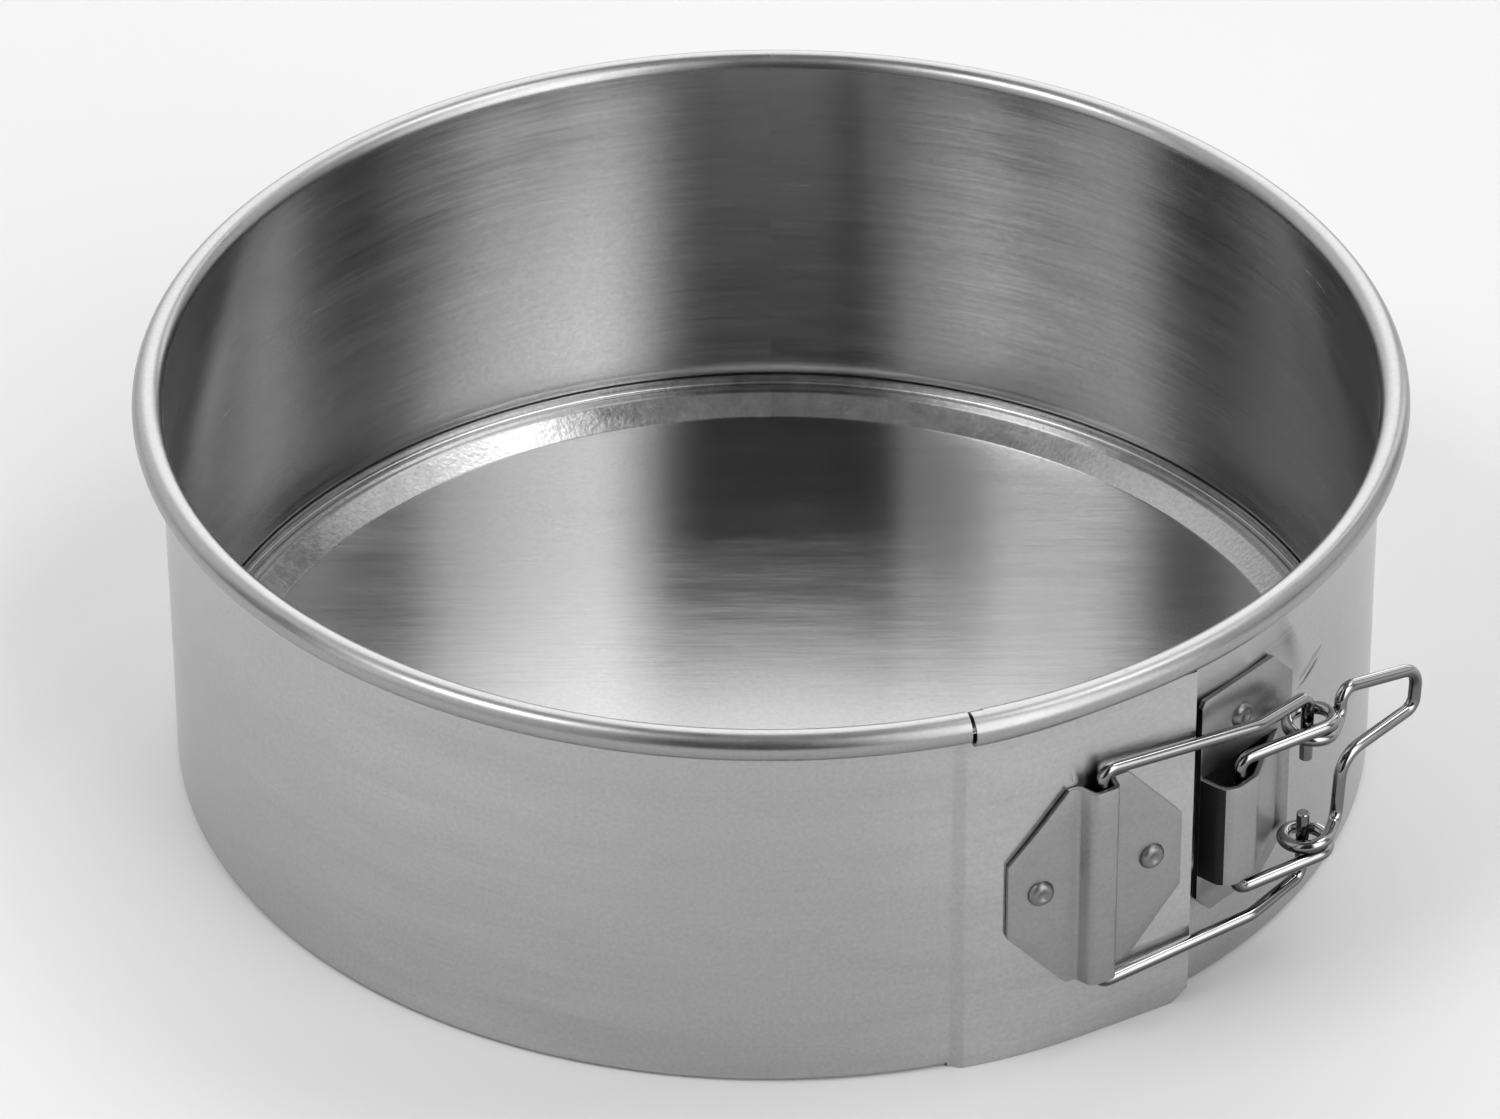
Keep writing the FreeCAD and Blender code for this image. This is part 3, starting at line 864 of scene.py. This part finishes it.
def lever_wire():
    """The lever: two pivot ends, two coils round the link's hooks, and a finger loop."""
    upper, upper_radii = lever_half(37.0, 44.9, 45.6, -COIL_PITCH)
    lower, lower_radii = lever_half(27.0, 18.9, 20.0, COIL_PITCH)
    loop = [on_lever(22.8, 0.5, 48.3), on_lever(41.0, 0.5, 43.7), on_lever(40.5, 0.5, 36.2),
            on_lever(23.7, 0.5, 34.2)]
    points = upper + loop + lower[::-1]
    line = rounded(points, upper_radii + [2.4, 2.3, 4.0, 2.2, 5.0, 2.6] + lower_radii[::-1])
    piece = rod("lever_rod", divided(line, 6.0), WIRE_RADIUS)
    return finish_piece(piece, WIRE_METAL, "lever", "wire", "lever_wire")


# ---- the studio -------------------------------------------------------------------

CAMERA_PLACE = Vector((0.0, -1.09894, 0.78184))
CAMERA_TARGET = Vector((-0.00365, 0.00378, 0.03))
CAMERA_ROLL = 0.31
SENSOR = 36.0
LENS = 187.97


def camera():
    lens = bpy.data.cameras.new("camera")
    lens.sensor_width = SENSOR
    lens.lens = LENS
    lens.clip_start = 0.05
    lens.clip_end = 30.0
    view = bpy.data.objects.new("camera", lens)
    bpy.context.collection.objects.link(view)
    view.location = CAMERA_PLACE
    look = (CAMERA_TARGET - CAMERA_PLACE).to_track_quat("-Z", "Y").to_matrix()
    view.rotation_euler = (look @ Matrix.Rotation(radians(-CAMERA_ROLL), 3, "Z")).to_euler()
    bpy.context.scene.camera = view


FLOOR_HALF_SIZE = 6.0            # metres
FLOOR_DROP = 0.00005             # metres, so that the floor and the base's underside don't coincide
FLOOR_COLOUR = (0.71, 0.71, 0.71, 1)


def floor():
    mesh = bpy.data.meshes.new("floor")
    size = FLOOR_HALF_SIZE
    corners = [(-size, -size, 0), (size, -size, 0), (size, size, 0), (-size, size, 0)]
    mesh.from_pydata(corners, [], [(0, 1, 2, 3)])
    piece = bpy.data.objects.new("floor", mesh)
    piece.location.z = -FLOOR_DROP
    bpy.context.collection.objects.link(piece)
    material = bpy.data.materials.new("pale_floor")
    material.use_nodes = True
    shader = material.node_tree.nodes["Principled BSDF"]
    shader.inputs["Base Color"].default_value = FLOOR_COLOUR
    shader.inputs["Roughness"].default_value = 0.9
    shader.inputs["Specular IOR Level"].default_value = 0.1
    mesh.materials.append(material)


# Bright and dark parts of the studio: azimuth from the camera's side towards +X, then brightness.
# Between two places the brightness runs evenly, so two close places make a crisp edge.
ROUND_STUDIO = [(-180, 2.5), (-165, 2.3), (-150, 1.2), (-106, 1.05), (-101, 0.28), (-84, 0.28),
                (-78, 1.7), (-62, 1.1), (-40, 0.8), (-27, 0.95), (-24.5, 0.04), (14, 0.04), (20, 0.3),
                (26, 1.8), (34, 3.9), (50, 3.2), (68, 1.9), (78, 0.3), (92, 0.35), (100, 0.9),
                (126, 1.0), (129, 0.1), (136, 0.1), (138, 2.8), (145, 2.8), (147, 0.1), (153, 0.1),
                (156, 2.5), (180, 2.5)]
BRIGHTEST = 4.0
OVERHEAD = 0.22                  # brightness above the side panels
SIDES_TOP = 62.0                 # how high the side panels reach, in degrees
HORIZON_SHARE = 0.6              # what is left of them at the horizon


def studio():
    """A soft studio all round: panels and dark gaps at the sides, and an even ceiling."""
    world = bpy.data.worlds.new("studio")
    bpy.context.scene.world = world
    world.use_nodes = True
    nodes = Nodes(world.node_tree)
    direction = nodes.add("ShaderNodeTexCoord").outputs["Generated"]
    x, y, z = nodes.add("ShaderNodeSeparateXYZ", {"Vector": direction}).outputs
    turn = nodes.math("ARCTAN2", x, nodes.math("MULTIPLY", y, -1.0))
    place = nodes.spread(turn, -pi, pi, 0.0, 1.0)
    ramp = nodes.add("ShaderNodeFloatCurve", {"Value": place, "Factor": 1.0})
    curve = ramp.mapping.curves[0]
    ramp.mapping.use_clip = False
    points = [((a + 180) / 360, v / BRIGHTEST) for a, v in ROUND_STUDIO]
    while len(curve.points) < len(points):
        curve.points.new(0.5, 0.5)
    for point, (px, py) in zip(curve.points, points):
        point.location = (px, py)
        point.handle_type = "VECTOR"
    ramp.mapping.update()
    sides = nodes.math("MULTIPLY", ramp.outputs["Value"], BRIGHTEST)
    height = nodes.math("DIVIDE", nodes.math("ARCSINE", z), radians(1.0))
    top = nodes.add("ShaderNodeMapRange", {"Value": height,
                                           "From Min": SIDES_TOP - 8, "From Max": SIDES_TOP + 8,
                                           "To Min": 0.0, "To Max": 1.0}, interpolation_type="SMOOTHSTEP")
    low = nodes.add("ShaderNodeMapRange", {"Value": height, "From Min": 0.0, "From Max": 14.0,
                                           "To Min": HORIZON_SHARE, "To Max": 1.0},
                    interpolation_type="SMOOTHSTEP")

    def mix(amount, a, b):
        node = nodes.add("ShaderNodeMix", {"Factor": amount}, data_type="FLOAT")
        for key, value in (("A", a), ("B", b)):
            if isinstance(value, bpy.types.NodeSocket):
                nodes.tree.links.new(value, node.inputs[key])
            else:
                node.inputs[key].default_value = value
        return node.outputs["Result"]

    strength = nodes.math("MULTIPLY", mix(top.outputs["Result"], sides, OVERHEAD), low.outputs["Result"])
    light = nodes.add("ShaderNodeBackground", {"Color": (1, 1, 1, 1), "Strength": strength})
    nodes.add("ShaderNodeOutputWorld", {"Surface": light.outputs["Background"]})


def soft_light(name, place, size, power):
    """One square studio softbox, turned to the pan."""
    data = bpy.data.lights.new(name, "AREA")
    data.shape = "SQUARE"
    data.size = size
    data.energy = power
    lamp = bpy.data.objects.new(name, data)
    bpy.context.collection.objects.link(lamp)
    lamp.location = place
    lamp.rotation_euler = (-Vector(place)).to_track_quat("-Z", "Y").to_euler()


band()
base()
link_bracket()
lever_bracket()
rivets()
link_wire()
lever_wire()
floor()
studio()
soft_light("key", (-0.68, -0.31, 1.17), 0.45, 4.6)
soft_light("top", (0.59, 0.08, 1.20), 0.42, 2.6)
camera()
bpy.context.scene.view_settings.view_transform = "Standard"
